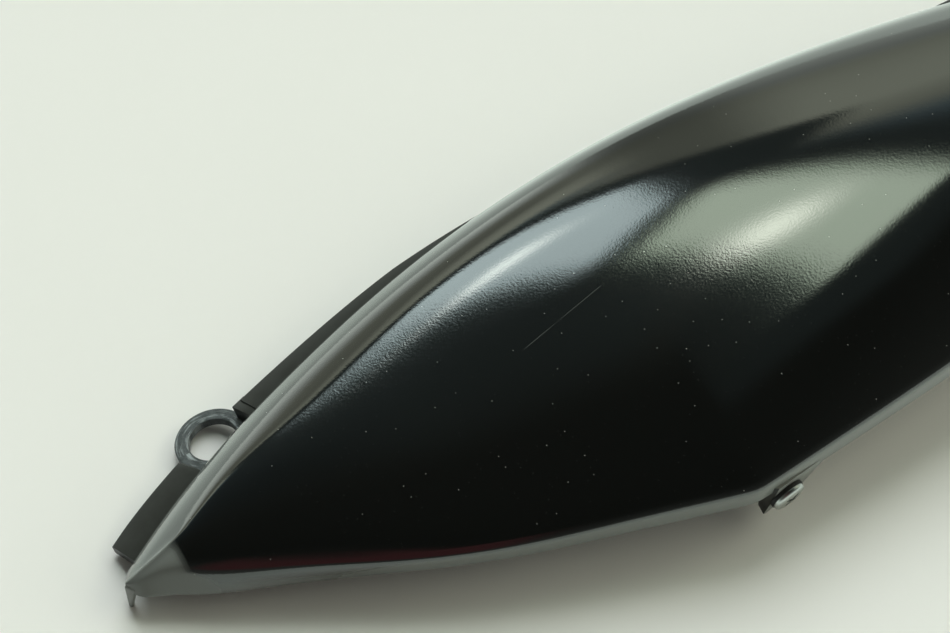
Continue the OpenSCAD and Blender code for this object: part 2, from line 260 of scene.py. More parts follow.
def side(a, b):
    d = b - a
    return np.array([d[1], -d[0]]) / np.linalg.norm(d)


def section(x, weights, folds, walls):
    a, b, d, f, g = rim(x), ridge(x), crown(x), fold(x), foot(x)
    e = np.array([f[0] + (d[0] - f[0]) * FULL_SIDE, f[1] + (d[1] - f[1]) * FULLNESS])
    f1, f2 = toward(f, e, FOLD_RADIUS), toward(f, g, FOLD_RADIUS)
    pull = a + (b - a) * RIDGE_PULL
    over = b + (d - b) * CROWN_PULL
    points = list(weights @ np.array([a, pull, b, over, d, e, f1]))
    points += [corner(f1, f, f2, i / folds) for i in range(1, folds + 1)]
    points += [f2 + (g - f2) * i / walls for i in range(1, walls + 1)]
    return points

# %% [markdown]
# A moulded wall is equally thick everywhere, so that it cools evenly. A copy
# of the outside, made smaller, would be thin at the fold. So the inner line is
# set off square to the outer one, by the wall's thickness.

# %% The inner side of a section
def inside(s, t, over, folds):
    k, l = over, over + folds
    f1 = s[k] - side(s[k - 1], s[k]) * t
    f2 = s[l] - side(s[l], s[l + 1]) * t
    u, v = s[k] - s[k - 1], s[l + 1] - s[l]
    q = f1 + u * ((f2 - f1)[0] * v[1] - (f2 - f1)[1] * v[0]) / (u[0] * v[1] - u[1] * v[0])
    out = []
    for i, p in enumerate(s):
        if i == 0:
            out.append(p - side(s[0], s[1]) * t)
        elif i == len(s) - 1:
            out.append(p + np.array([t / abs(side(s[i - 1], p)[0]), 0]))
        elif k <= i <= l:
            out.append(corner(f1, q, f2, (i - k) / folds))
        else:
            n, m = side(s[i - 1], p), side(p, s[i + 1])
            out.append(p - (n + m) * t / (1 + n @ m))
    return out

# %% [markdown]
# The origin is the middle of the eyelet's hole, where the panel is screwed to
# the motorcycle. It is found from the upper edge by the eyelet's drop, reach
# and slope.

# %% The eyelet's middle as the origin
def edge_point(x):
    return np.array([x, *rim(x)])


def edge_normal(x):
    d = edge_point(x + 1) - edge_point(x - 1)
    return np.array([-d[1], d[0], 0]) / math.hypot(d[0], d[1])


UP = np.array([0, 0, 1.0])
eyelet_edge = edge_point(EYELET_AT)
eyelet_normal = edge_normal(EYELET_AT)
eyelet_axis = eyelet_normal * math.sin(EYELET_SLOPE) + UP * math.cos(EYELET_SLOPE)
eyelet_middle = eyelet_edge - UP * EYELET_DROP + eyelet_normal * EYELET_REACH
eyelet_middle = eyelet_middle - eyelet_axis * FLANGE_THICK / 2
FLOOR = -eyelet_middle[2] / 1000
print("middle of the eyelet from the nose:", np.round(eyelet_middle, 3), "mm")


def placed(points):
    """Points measured from the nose, in millimetres, as points of the row frame."""
    return (np.asarray(points, float) - eyelet_middle) / 1000

# %% [markdown]
# Most pieces are lofts: a grid whose rows are bent onto rings. A lathe is a
# loft whose rings are circles, and a block is a loft over two rectangles. Small
# bevels catch the light on the edges, because a moulded edge is never sharp.

# %% From a mesh to an object
MERGE = 2e-6


def finished(bm, name, sharp=40, bevel=0.0, segments=2):
    """The mesh as an object, merged, rounded and with its normals outward."""
    bmesh.ops.remove_doubles(bm, verts=bm.verts, dist=MERGE)
    bmesh.ops.dissolve_degenerate(bm, edges=bm.edges, dist=MERGE / 2)
    bmesh.ops.recalc_face_normals(bm, faces=bm.faces)
    if bevel:
        limit = math.radians(sharp)
        edges = [e for e in bm.edges if len(e.link_faces) == 2 and e.calc_face_angle(0) > limit]
        bmesh.ops.bevel(bm, geom=edges, offset=bevel / 1000, segments=segments, profile=0.5,
                        affect="EDGES", clamp_overlap=True)
        bmesh.ops.recalc_face_normals(bm, faces=bm.faces)
    mesh = bpy.data.meshes.new(name)
    bm.to_mesh(mesh)
    bm.free()
    mesh.shade_smooth()
    mesh.set_sharp_from_angle(angle=math.radians(sharp))
    obj = bpy.data.objects.new(name, mesh)
    bpy.context.scene.collection.objects.link(obj)
    return obj

# %% Lofts, lathes and blocks
def grid(bm, rows):
    """A grid of faces bent onto rows of points. The grid's own order is kept."""
    rows = np.asarray(rows, float)
    high, wide = rows.shape[:2]
    made = bmesh.ops.create_grid(bm, x_segments=wide - 1, y_segments=high - 1, size=1)
    verts = made["verts"]
    assert len(verts) == high * wide
    for vert, p in zip(verts, rows.reshape(-1, 3)):
        vert.co = p
    return [verts[i * wide:(i + 1) * wide] for i in range(high)]


def loft(name, rings, caps=True, **how):
    """A closed tube over rings of points, with its two ends filled."""
    bm = bmesh.new()
    grid(bm, [placed(list(r) + [r[0]]) for r in rings])
    bmesh.ops.remove_doubles(bm, verts=bm.verts, dist=MERGE)
    if caps:
        bmesh.ops.holes_fill(bm, edges=[e for e in bm.edges if e.is_boundary], sides=0)
    return finished(bm, name, **how)


def lathe(name, profile, base, axis, steps=96, **how):
    """A profile of (radius, height) points turned about an axis."""
    axis = np.array(axis, float) / np.linalg.norm(axis)
    across = np.cross(axis, [1, 0, 0] if abs(axis[0]) < 0.8 else [0, 1, 0])
    across /= np.linalg.norm(across)
    other = np.cross(axis, across)
    turns = [2 * math.pi * i / steps for i in range(steps)]
    spokes = [across * math.cos(t) + other * math.sin(t) for t in turns]
    rings = [[np.array(base) + axis * h + spoke * r for spoke in spokes] for r, h in profile]
    return loft(name, rings, **how)


def block(name, base, x_axis, y_axis, z_axis, low, high, **how):
    """A box from low to high along three given directions."""
    ax = np.array([x_axis, y_axis, z_axis], float)
    flat = ((low[0], low[1]), (high[0], low[1]), (high[0], high[1]), (low[0], high[1]))
    rings = [[np.array(base) + np.array([x, y, z]) @ ax for x, y in flat] for z in (low[2], high[2])]
    return loft(name, rings, **how)

# %% [markdown]
# The shell is the piece that takes skill. On the real part it is the outside
# of one moulding. It could be a few faces with a subdivision modifier, but
# then its reflections wobble. So it is drawn with 200 sections, much finer than
# the CAD model, and closest together where the nose and the rear turn.

# %% Where the sections stand
OVER, FOLDS, WALLS = 60, 8, 4
NOSE_PART = 22
REAR_START = LENGTH - REAR_ROUND
fine = clamped_weights(OVER)
stations = [NOSE_PART * (1 - math.cos(math.pi / 2 * i / 26)) for i in range(26)]
stations += [NOSE_PART + i * (LENGTH - NOSE_PART - REAR_ROUND) / 150 for i in range(151)]
stations += [REAR_START + REAR_ROUND * math.sin(math.pi / 2 * i / 24) for i in range(1, 25)]


def within(x):
    """The place in the hollow that answers to a place on the outside."""
    return HOLLOW[0] + x * (HOLLOW[1] - HOLLOW[0]) / LENGTH


def outer_row(x):
    return [(x, *p) for p in section(x, fine, FOLDS, WALLS)]


def inner_row(x):
    outline = section(within(x), fine, FOLDS, WALLS)
    return [(within(x), *p) for p in inside(outline, WALL, OVER, FOLDS)]


outer_rows = [outer_row(x) for x in stations]
inner_rows = [inner_row(x) for x in stations]
print("sections:", len(stations), "with", len(outer_rows[0]), "points each")

# %% [markdown]
# The paint needs to know where it is, so three numbers are kept at each point
# of the mesh: one for the side wall and the tip of the nose, where a grey
# painted reflection of the floor goes, one for a painted sheen along the upper
# edge, and `hollow` for the inner side. Seams cut into the mesh would also do
# it, but they give hard borders, and on the real part these borders are soft.
# Between 16 and 70 mm from the nose the painted grey starts lower down the wall.

# %% The two sheets of the shell and their marks
# The grey painted reflection of the floor covers the side wall and the tip of the nose.
LOWER_BY = 4.5
WALL_FROM, WALL_SOFT = 3.5, 2.5
TIP_END, TIP_SOFT = 16.5, 2.5
# The band along the upper edge gets a painted sheen, a grey that stands in for the floor's reflection at a
# grazing angle.
SHEEN_WIDE, SHEEN_SOFT = 7, 3


def limited(value):
    return min(max(value, 0), 1)


bm = bmesh.new()
wall_layer = bm.verts.layers.float.new("wall")
edge_sheen_layer = bm.verts.layers.float.new("edge_sheen")
hollow_layer = bm.verts.layers.float.new("hollow")
outer = grid(bm, [placed(r) for r in outer_rows])
inner = grid(bm, [placed(r) for r in inner_rows])
for x, points, row in zip(stations, outer_rows, outer):
    late = LOWER_BY * limited((x - 16) / 6) * limited((70 - x) / 20)
    for j, (vert, p) in enumerate(zip(row, points)):
        tip = limited((TIP_END - x) / TIP_SOFT) * limited((4 - p[1]) / 5)
        below = limited((j - OVER - WALL_FROM - late) / WALL_SOFT)
        vert[wall_layer] = max(tip, below * (1 - 0.1 * late))
        vert[edge_sheen_layer] = limited((SHEEN_WIDE - math.dist(p[1:], points[0][1:])) / SHEEN_SOFT)
for row in inner:
    for vert in row:
        vert[hollow_layer] = 1

# %% The rims and the ends of the shell
last = len(outer[0]) - 1
for i in range(len(stations) - 1):
    for j in (0, last):
        bm.faces.new((outer[i][j], outer[i + 1][j], inner[i + 1][j], inner[i][j]))
for sheet in (outer, inner):
    for row in (sheet[0], sheet[-1]):
        for j in range(last // 2):
            ring = [row[j], row[j + 1], row[last - 1 - j], row[last - j]]
            if len(set(ring)) == 4:
                bm.faces.new(ring)
            elif len(set(ring)) == 3:
                bm.faces.new(list(dict.fromkeys(ring)))
for i in (0, -1):
    bm.faces.new((outer[i][0], outer[i][last], inner[i][last], inner[i][0]))
shell = finished(bm, "shell", sharp=50, bevel=0.25, segments=2)
print("shell:", len(shell.data.vertices), "vertices,", len(shell.data.polygons), "faces")

# %% [markdown]
# The flange runs along the upper edge, square to it, and slopes down towards
# the frame that it seals against. It is the same moulding as the shell, but a
# loft of its own is easier to keep even. It is widest behind the nose, where
# its end is cut askew, and runs out under the edge. A short one near the rear
# is a guess, as the photo stops there.

# %% The flange's reach
FLANGE_MIDDLE = 190
NARROWS_TO = 184
RUNS_OUT_AT = 148
RUNS_OUT_BY = 0.13
REAR_FLANGE_AT = 290
REAR_FLANGE_RISE = 0.25
REAR_FLANGE_WIDTH = 3.5
SKEWED_PART = 14


def flange_reach(x):
    """How far the flange stands out. At LIP it stays hidden under the edge."""
    if GAP[0] < x < GAP[1]:
        return LIP
    if x < FLANGE_MIDDLE:
        return max(LIP, min(FLANGE_WIDTH * (1 - x / NARROWS_TO), RUNS_OUT_BY * (RUNS_OUT_AT - x)))
    if x > REAR_FLANGE_AT:
        return min(REAR_FLANGE_WIDTH, (x - REAR_FLANGE_AT) * REAR_FLANGE_RISE + LIP)
    return LIP


def flange_ring(x):
    m = edge_normal(x)
    turn = END_SKEW * max(0, 1 - (x - FLANGE_ENDS[0]) / SKEWED_PART)
    c, d = math.cos(turn), math.sin(turn)
    n = np.array([m[0] * c - m[1] * d, m[1] * c + m[0] * d, 0])
    s = n * math.cos(FLANGE_SLOPE) - UP * math.sin(FLANGE_SLOPE)
    t = n * math.sin(FLANGE_SLOPE) + UP * math.cos(FLANGE_SLOPE)
    top = edge_point(x) - UP * FLANGE_STEP
    r, w = flange_reach(x), 0.6
    arc = [(r - w + w * math.sin(a), -w + w * math.cos(a)) for a in np.linspace(0, math.pi / 2, 5)]
    under = [(p[0], -FLANGE_THICK - p[1]) for p in reversed(arc)]
    outline = [(-FLANGE_ROOT, 0)] + arc + under + [(-FLANGE_ROOT, -FLANGE_THICK)]
    return [top + s * a + t * b for a, b in outline]

# %% The flange
flange_at = list(np.linspace(FLANGE_ENDS[0], GAP[0], 24)) + [GAP[0] + 0.3, sum(GAP) / 2, GAP[1] - 0.3]
flange_at += list(np.linspace(GAP[1], FLANGE_MIDDLE, 60)) + [210, 230, 250, 270, 290]
flange_at += list(np.linspace(294, FLANGE_ENDS[1], 40))
flange = loft("flange", [flange_ring(x) for x in flange_at], sharp=55, bevel=0.35, segments=3)
print("flange:", len(flange.data.polygons), "faces")

# %% [markdown]
# The eyelet's ring lies lower than the flange. It takes the bolt, so its rims
# are rounded by wear. A torus would be quicker, but the real ring is flat on
# both faces. So a profile is turned about the eyelet's own sloping axis.

# %% The eyelet's ring
circle = [2 * math.pi * i / 128 for i in range(129)]
across = np.cross(eyelet_axis, [0, 0, 1])
across /= np.linalg.norm(across)
other = np.cross(eyelet_axis, across)
inner_r, outer_r, half, soft = EYELET_HOLE, EYELET_HOLE + EYELET_RING, FLANGE_THICK / 2, 0.55
quarter = np.linspace(0, math.pi / 2, 6)
bore_soft = 0.3
profile = [(outer_r - soft + soft * math.sin(a), half - soft + soft * math.cos(a)) for a in quarter]
profile += [(r, -h) for r, h in reversed(profile)]
bore = inner_r + bore_soft
profile += [(bore - bore_soft * math.sin(a), -half + bore_soft - bore_soft * math.cos(a)) for a in quarter]
profile += [(bore - bore_soft * math.cos(a), half - bore_soft + bore_soft * math.sin(a)) for a in quarter]
spokes = [across * math.cos(t) + other * math.sin(t) for t in circle]
ring_rows = [[eyelet_middle + spoke * r + eyelet_axis * h for r, h in profile] for spoke in spokes]
ring = loft("eyelet_ring", ring_rows, caps=False, sharp=70)
print("eyelet: hole", 2 * inner_r, "mm, ring", 2 * outer_r, "mm across")

# %% [markdown]
# A web carries the ring from each end of the gap in the flange, and a short
# wall carries it under the edge of the shell. The web on the rear side is a
# little thicker than in the CAD model, as it closes the corner there.

# %% What carries the eyelet
web_depth = 2.4


def web(name, x, thick=3.0):
    n = edge_normal(x)
    s = n * math.cos(FLANGE_SLOPE) - UP * math.sin(FLANGE_SLOPE)
    t = n * math.sin(FLANGE_SLOPE) + UP * math.cos(FLANGE_SLOPE)
    along = np.cross(t, s)
    reach = flange_reach(GAP[0]) - 1
    return block(name, edge_point(x) - UP * FLANGE_STEP, s, along, t,
                 (1 - FLANGE_ROOT, -thick / 2, -FLANGE_THICK - web_depth),
                 (reach, thick / 2, -0.4), bevel=0.3)


webs = [web("web_nose_side", GAP[0] - 0.6), web("web_rear_side", GAP[1] - 0.5, thick=5.0)]
low = EYELET_REACH - EYELET_HOLE - 3.4
wall_base = eyelet_edge - UP * (EYELET_DROP + half)
eyelet_wall = block("eyelet_wall", wall_base, eyelet_normal, np.cross(UP, eyelet_normal), UP,
                    (low, -EYELET_HOLE, 0), (low + 2.2, EYELET_HOLE, EYELET_DROP + half + 0.8), bevel=0.2)
print("webs:", len(webs), "and one wall")

# %% [markdown]
# The tab is an ear below the kink that takes the screw. It is a loft from the
# outline of its back to that of its face, which is narrower towards the nose,
# because a mould needs such a taper to let the part go.

# %% The tab
foot_here = foot(SCREW_AT)
screw_middle = np.array([SCREW_AT, foot_here[0] + 0.25, foot_here[1] - SCREW_DROP])
cos_turn, sin_turn = math.cos(TAB_TURN), math.sin(TAB_TURN)
cos_lean, sin_lean = math.cos(TAB_LEAN), math.sin(TAB_LEAN)
out = np.array([cos_turn * cos_lean, sin_turn * cos_lean, -sin_lean])
down = np.array([-cos_turn * sin_lean, -sin_turn * sin_lean, -cos_lean])
beside = np.array([-sin_turn, cos_turn, 0])
tab_top = -SCREW_DROP - 3
tab_outer = [(tab_top, -4.4), (-0.5, -4.6), (8, -6), (8.8, -5), (4.6, 6.8), (-3.6, 12), (tab_top, 13.4)]
tab_inner = [(tab_top, -7.5), (2, -6.9), (7.6, -5.6), (8.4, -4.7), (4.4, 6.6), (-3.6, 11.8),
             (tab_top, 13.2)]


def on_tab(points, h):
    """Points of the tab's outline, at a height above its face."""
    return [screw_middle + down * a + beside * b + out * h for a, b in points]


tab = loft("tab", [on_tab(tab_inner, -TAB_THICK), on_tab(tab_inner, -TAB_THICK + 0.2),
                   on_tab(tab_outer, -0.2), on_tab(tab_outer, 0)], bevel=0.25)
print("screw's middle from the nose:", np.round(screw_middle, 2), "mm")

# %% [markdown]
# The prong drops from the tip of the nose, where such panels hook into their
# neighbour. It is a small bar that grows thicker towards its root.

# %% The prong
turned = math.radians(-58)
tx = np.array([math.cos(turned), math.sin(turned), 0])
ty = np.array([-math.sin(turned), math.cos(turned), 0])


def plate(base, wide, deep, z):
    """A turned rectangle at one height."""
    signs = ((-1, -1), (1, -1), (1, 1), (-1, 1))
    return [np.array([*base, z]) + tx * a * wide / 2 + ty * b * deep / 2 for a, b in signs]


tip_spot, root_spot = (0, -0.6), (1, -0.2)
prong = loft("prong", [plate(tip_spot, 1.28, 1.4, 0), plate(tip_spot, 1.28, 1.4, 1),
                       plate(root_spot, 3.2, 2, 8.5), plate(root_spot, 3.2, 2, 9.5)], bevel=0.3)
print("prong:", len(prong.data.polygons), "faces")

# %% [markdown]
# Two pegs hang under the rear and press into rubber grommets on the frame. So
# the panel rests on three points: the prong and the pegs. Each peg is a turned
# pin on a thicker boss that reaches up to the dome. Pegs and ribs are hidden in
# the picture and follow the CAD model.

# %% The pegs
BOSS_R = 5.8
PEG_ENDS = (("peg_flange_side", 1), ("peg_screw_side", -1))
coarse = clamped_weights(16)
peg_middle = middle(PEGS_AT) + PEG_SHIFT
hidden = []


def under_dome(x, y):
    """The height halfway through the wall of the dome."""
    s = np.array(section(x, coarse, 3, 2))[:17]
    return float(np.interp(-y, -s[:, 0], s[:, 1])) - WALL / 2


for name, sign in PEG_ENDS:
    y = peg_middle + sign * PEG_SPACING / 2
    pin = [(PEG_R - 1, 0), (PEG_R, PEG_TIP), (PEG_R, PEG_LENGTH), (PEG_R, PEG_LENGTH + 2)]
    hidden.append(lathe(name, pin, (PEGS_AT, y, 0), UP, steps=64))
    spots = [(PEGS_AT + BOSS_R * math.cos(t), y + BOSS_R * math.sin(t)) for t in circle[:-1:2]]
    foot_ring = [(a, b, PEG_LENGTH) for a, b in spots]
    roof_ring = [(a, b, under_dome(PEGS_AT, b)) for a, b in spots]
    hidden.append(loft(name + "_boss", [foot_ring, roof_ring], bevel=0.3))
print("pegs:", PEG_SPACING, "mm apart")

# %% [markdown]
# Thin ribs stiffen the dome from below. Each is a slice of the dome's own
# inner line, given a depth, so it follows the dome exactly.

# %% The ribs
def rib(name, x, thick, depth):
    roof = inside(section(x, coarse, 3, 2), WALL * 0.45, 16, 3)[4:15]
    shape = [tuple(p) for p in roof] + [(p[0], p[1] - WALL * 0.6 - depth) for p in reversed(roof)]
    return loft(name, [[(x + d, *p) for p in shape] for d in (-thick / 2, thick / 2)])


for i, x in enumerate(RIBS_AT):
    hidden.append(rib(f"rib_{i + 1}", x, RIB_THICK, RIB_DEPTH))
hidden.append(rib("rib_at_pegs", PEGS_AT, RIB_THICK + 0.6, 1.5 * RIB_DEPTH))
print("pieces of the moulding:", 6 + len(webs) + len(hidden))

# %% [markdown]
# The screw is turned as a lathe would turn it: a low domed head, a shank with
# thread grooves and a point. The grooves are rings and not a real helix, which
# is enough for a thread that is hidden in its tab.

# %% The screw
PITCH = 0.8
GROOVE = 0.22
DOME = ((1, 0.35), (0.985, 0.5), (0.93, 0.68), (0.82, 0.84), (0.62, 0.95), (0.3, 1))
head = [(1.5, -SHANK - 1), (THREAD_R, -SHANK)]
h = -SHANK + PITCH / 2
while h < -1:
    head += [(THREAD_R, h), (THREAD_R - GROOVE, h + 0.25), (THREAD_R, h + 0.5)]
    h += PITCH
top = HEAD_H
head += [(THREAD_R, 0), (HEAD_R, 0)]
head += [(HEAD_R * wide, top * high) for wide, high in DOME]
head_base = screw_middle + out * WASHER
screw = lathe("screw", head, head_base, out, steps=72, sharp=32)

# %% [markdown]
# The cross recess is cut with two bars, as a punch would press it. A texture
# could fake it, but the edge of a real cut catches the light.

# %% The cross recess
BAR_LONG, BAR_WIDE, RECESS = 2.7, 0.6, 0.95


def cut(obj, tool):
    """Takes the tool out of the piece and removes the tool."""
    step = obj.modifiers.new("cut", "BOOLEAN")
    step.operation, step.object, step.solver = "DIFFERENCE", tool, "EXACT"
    solved = obj.evaluated_get(bpy.context.evaluated_depsgraph_get())
    mesh = bpy.data.meshes.new_from_object(solved)
    obj.modifiers.clear()
    obj.data = mesh
    mesh.set_sharp_from_angle(angle=math.radians(32))
    bpy.data.objects.remove(tool)


for k, turn in enumerate((45, 135)):
    a = math.radians(turn)
    u = down * math.cos(a) + beside * math.sin(a)
    v = np.cross(out, u)
    bar = block(f"bar_{k}", head_base + out * (top - RECESS), u, v, out,
                (-BAR_LONG, -BAR_WIDE, 0), (BAR_LONG, BAR_WIDE, 1.4))
    bpy.context.view_layer.update()
    cut(screw, bar)
print("screw:", len(screw.data.polygons), "faces")

# %% [markdown]
# A rubber washer under the head keeps the paint from cracking, and a ring
# behind the tab keeps the screw from falling out. Both are turned rings.

# %% The washers
def turned_ring(name, inner, outer, thick, base, **how):
    """A flat ring about the screw's axis."""
    ring = [(inner, 0.0), (outer, 0.0), (outer, thick), (inner, thick)]
    return lathe(name, ring, base, out, steps=72, **how)


washer = turned_ring("washer", THREAD_R + 0.1, HEAD_R + 0.3, WASHER, screw_middle, bevel=0.18, segments=3)
retainer = turned_ring("retainer", THREAD_R + 0.05, HEAD_R, RETAINER,
                       screw_middle - out * (TAB_THICK + RETAINER), bevel=0.15)
print("washer:", 2 * (HEAD_R + 0.3), "mm across")

# %% [markdown]
# Small helpers keep the node trees readable. `node` makes one node, links the
# sockets it is given and writes plain values straight onto the others. A name
# such as i0 means the first socket.

# %% Node helpers
def node(tree, kind, settings=(), **sockets):
    made = tree.nodes.new(kind)
    for name, value in dict(settings).items():
        setattr(made, name, value)
    for name, value in sockets.items():
        by_number = name[0] == "i" and name[1:].isdigit()
        socket = made.inputs[int(name[1:])] if by_number else made.inputs[name.replace("_", " ")]
        if isinstance(value, bpy.types.NodeSocket):
            tree.links.new(value, socket)
        else:
            socket.default_value = value
    return made


def sums(tree, operation, *values):
    numbered = {f"i{i}": v for i, v in enumerate(values)}
    return node(tree, "ShaderNodeMath", {"operation": operation}, **numbered).outputs[0]


def times(tree, *values):
    total = values[0]
    for value in values[1:]:
        total = sums(tree, "MULTIPLY", total, value)
    return total


def ramp(tree, value, low, high, to_low=0.0, to_high=1.0, smooth=True):
    kind = "SMOOTHSTEP" if smooth else "LINEAR"
    made = node(tree, "ShaderNodeMapRange", {"interpolation_type": kind, "clamp": True},
                Value=value, From_Min=low, From_Max=high, To_Min=to_low, To_Max=to_high)
    return made.outputs[0]


def blend(tree, factor, a, b):
    made = node(tree, "ShaderNodeMix", {"data_type": "RGBA"}, i0=factor, i6=a, i7=b)
    return made.outputs[2]


def coloured(rgb):
    return (*rgb, 1.0)

# %% Material helpers
def new_material(name):
    made = bpy.data.materials.new(name)
    made.use_nodes = True
    tree = made.node_tree
    tree.nodes.clear()
    shader = node(tree, "ShaderNodeBsdfPrincipled")
    end = node(tree, "ShaderNodeOutputMaterial")
    tree.links.new(shader.outputs[0], end.inputs[0])
    place = node(tree, "ShaderNodeTexCoord").outputs["Object"]
    return made, tree, shader, place


def noise(tree, place, scale, detail=3.0, rough=0.55):
    grains = {"Scale": scale, "Detail": detail, "Roughness": rough}
    return node(tree, "ShaderNodeTexNoise", Vector=place, **grains).outputs[0]


def mark(name):
    """A number that was kept at each point of the mesh."""
    return node(tree, "ShaderNodeAttribute", {"attribute_name": name}).outputs["Fac"]


def bump(height, strength, distance, **more):
    made = node(tree, "ShaderNodeBump", Height=height, Strength=strength, Distance=distance, **more)
    return made.outputs[0]


def specks(tree, place, scale, size, share):
    """Dots of one size, in a share of the cells."""
    cells = node(tree, "ShaderNodeTexVoronoi", {"voronoi_dimensions": "2D"}, Vector=place, Scale=scale)
    near = ramp(tree, cells.outputs["Distance"], size * 0.6, size, 1.0, 0.0)
    chosen = node(tree, "ShaderNodeSeparateColor", Color=cells.outputs["Color"]).outputs[0]
    return sums(tree, "MULTIPLY", near, sums(tree, "LESS_THAN", chosen, share))

# %% [markdown]
# The panel is gloss black over a moulded plastic. Sprayed gloss is never
# flat: a fine orange peel, under a millimetre from bump to bump, makes the
# edges of the reflections grainy. It is a bump from noise, as a picture of
# grain would repeat. Specks of dust sit on it: the dots are cells of a Voronoi
# pattern, of which only a few are chosen.

# %% Dust and orange peel
panel, tree, shader, place = new_material("gloss_black_panel")
wall, hollow, edge_sheen = mark("wall"), mark("hollow"), mark("edge_sheen")
peel = noise(tree, place, 1500.0, 2.0, 0.6)
wave = noise(tree, place, 160.0, 2.0, 0.5)
DUST_CELLS, DUST_SIZE, DUST_SHARE = 150.0, 0.024, 0.22
dust = specks(tree, place, DUST_CELLS, DUST_SIZE, DUST_SHARE)
grain = specks(tree, place, 420.0, 0.05, 0.14)
print("one speck in", round(1 / DUST_SHARE, 1), "cells of", round(1000 / DUST_CELLS, 1), "mm")

# %% [markdown]
# One long scratch crosses the dome. It is the distance of each point to a
# line, from one place to another, broken a little by noise.

# %% The scratch
SCRATCH_WIDE = (0.00005, 0.00016)
SCRATCH_FADE = 0.004
split = node(tree, "ShaderNodeSeparateXYZ", Vector=place)
start, stop = placed((156.0, 5.2, 0.0)), placed((124.0, -0.9, 0.0))
run = (stop - start)[:2]
run_length = float(np.hypot(*run))
run = run / run_length
dx = sums(tree, "SUBTRACT", split.outputs[0], float(start[0]))
dy = sums(tree, "SUBTRACT", split.outputs[1], float(start[1]))
side_off = sums(tree, "SUBTRACT", times(tree, dx, float(run[1])), times(tree, dy, float(run[0])))
off = sums(tree, "ABSOLUTE", side_off)
on = sums(tree, "ADD", times(tree, dx, float(run[0])), times(tree, dy, float(run[1])))
wander = ramp(tree, noise(tree, place, 90.0, 2.0), 0.25, 0.5, 0.4)
ends = times(tree, ramp(tree, on, 0.0, SCRATCH_FADE),
             ramp(tree, on, run_length - SCRATCH_FADE, run_length, 1.0, 0.0))
line = times(tree, ramp(tree, off, *SCRATCH_WIDE, 1.0, 0.0), ends)
scratch = times(tree, line, wander, 0.2)
print("scratch:", round(run_length * 1000, 1), "mm long")

# %% [markdown]
# The side wall below the fold and the tip of the nose get a grey that is a
# painted reflection of the pale floor, and the band along the upper edge gets a
# painted sheen. The inner side is a little greyer, and it and the side wall are
# duller, as only the face is polished. So the marks of the mesh choose the
# colour, and they also set how rough the surface is and how much clear coat it
# has.

# %% The gloss black panel
# The hazy grey is a painted sheen along the upper edge, and the wall grey is a painted reflection of the
# pale floor on the side wall and the nose tip.
BLACK, EDGE_SHEEN_GREY = (0.005, 0.0055, 0.005), (0.075, 0.082, 0.075)
WALL_REFLECTION_GREY, INNER_BLACK = (0.175, 0.19, 0.178), (0.014, 0.014, 0.014)
DUST_GREY = (0.36, 0.37, 0.35)
marks = sums(tree, "MAXIMUM", sums(tree, "MAXIMUM", dust, times(tree, grain, 0.12)), scratch)
base = blend(tree, edge_sheen, coloured(BLACK), coloured(EDGE_SHEEN_GREY))
base = blend(tree, wall, base, coloured(WALL_REFLECTION_GREY))
base = blend(tree, hollow, base, coloured(INNER_BLACK))
base = blend(tree, times(tree, marks, 0.8), base, coloured(DUST_GREY))
dull = sums(tree, "MAXIMUM", wall, hollow)
tree.links.new(base, shader.inputs["Base Color"])
tree.links.new(ramp(tree, dull, 0.0, 1.0, 0.08, 0.42, False), shader.inputs["Roughness"])
tree.links.new(ramp(tree, dull, 0.0, 1.0, 1.0, 0.15, False), shader.inputs["Coat Weight"])
shader.inputs["Coat Roughness"].default_value = 0.02
shader.inputs["Coat IOR"].default_value = 1.5
first = bump(wave, 0.5, 0.000012)
second = bump(peel, 1.0, 0.0000095, Normal=first)
tree.links.new(second, shader.inputs["Normal"])
tree.links.new(second, shader.inputs["Coat Normal"])
print("panel paint:", len(tree.nodes), "nodes")

# %% [markdown]
# The flange and the webs are the same moulding, left satin as it comes from
# the mould. The mould's own fine grain gives the soft, broken highlights.

# %% The satin black flange
SATIN_DARK, SATIN_LIGHT = (0.007, 0.008, 0.007), (0.012, 0.0135, 0.012)
satin_black_and_shade, tree, shader, place = new_material("satin_black_flange_and_tab_shade")
mottle = noise(tree, place, 300.0, 4.0)
shade = blend(tree, ramp(tree, mottle, 0.3, 0.7), coloured(SATIN_DARK), coloured(SATIN_LIGHT))
tree.links.new(shade, shader.inputs["Base Color"])
shader.inputs["Specular IOR Level"].default_value = 0.3
tree.links.new(ramp(tree, mottle, 0.3, 0.7, 0.3, 0.4), shader.inputs["Roughness"])
tree.links.new(bump(noise(tree, place, 2400.0, 2.0), 0.35, 0.00002), shader.inputs["Normal"])
print("flange paint:", len(tree.nodes), "nodes")

# %% [markdown]
# The ring is the same plastic too, but bolts and hands have scuffed it grey,
# with bright rubs that run around the hole. So that noise is laid out around
# the hole, by angle and radius, and not straight across it.

# %% The scuffed ring
SCUFF_DARK, SCUFF_LIGHT = (0.022, 0.027, 0.029), (0.075, 0.088, 0.092)
RUBBED = (0.42, 0.47, 0.48)
worn, tree, shader, place = new_material("scuffed_ring")
cloud = noise(tree, place, 420.0, 6.0, 0.65)
spot = node(tree, "ShaderNodeSeparateXYZ", Vector=place)
around = sums(tree, "ARCTAN2", spot.outputs[1], spot.outputs[0])
radius = node(tree, "ShaderNodeVectorMath", {"operation": "LENGTH"}, i0=place).outputs["Value"]
polar = node(tree, "ShaderNodeCombineXYZ", X=times(tree, around, 1.3), Y=times(tree, radius, 900.0), Z=0.0)
rub = noise(tree, polar.outputs[0], 1.1, 4.0, 0.55)
grey = blend(tree, ramp(tree, cloud, 0.3, 0.7), coloured(SCUFF_DARK), coloured(SCUFF_LIGHT))
bright = ramp(tree, rub, 0.48, 0.68)
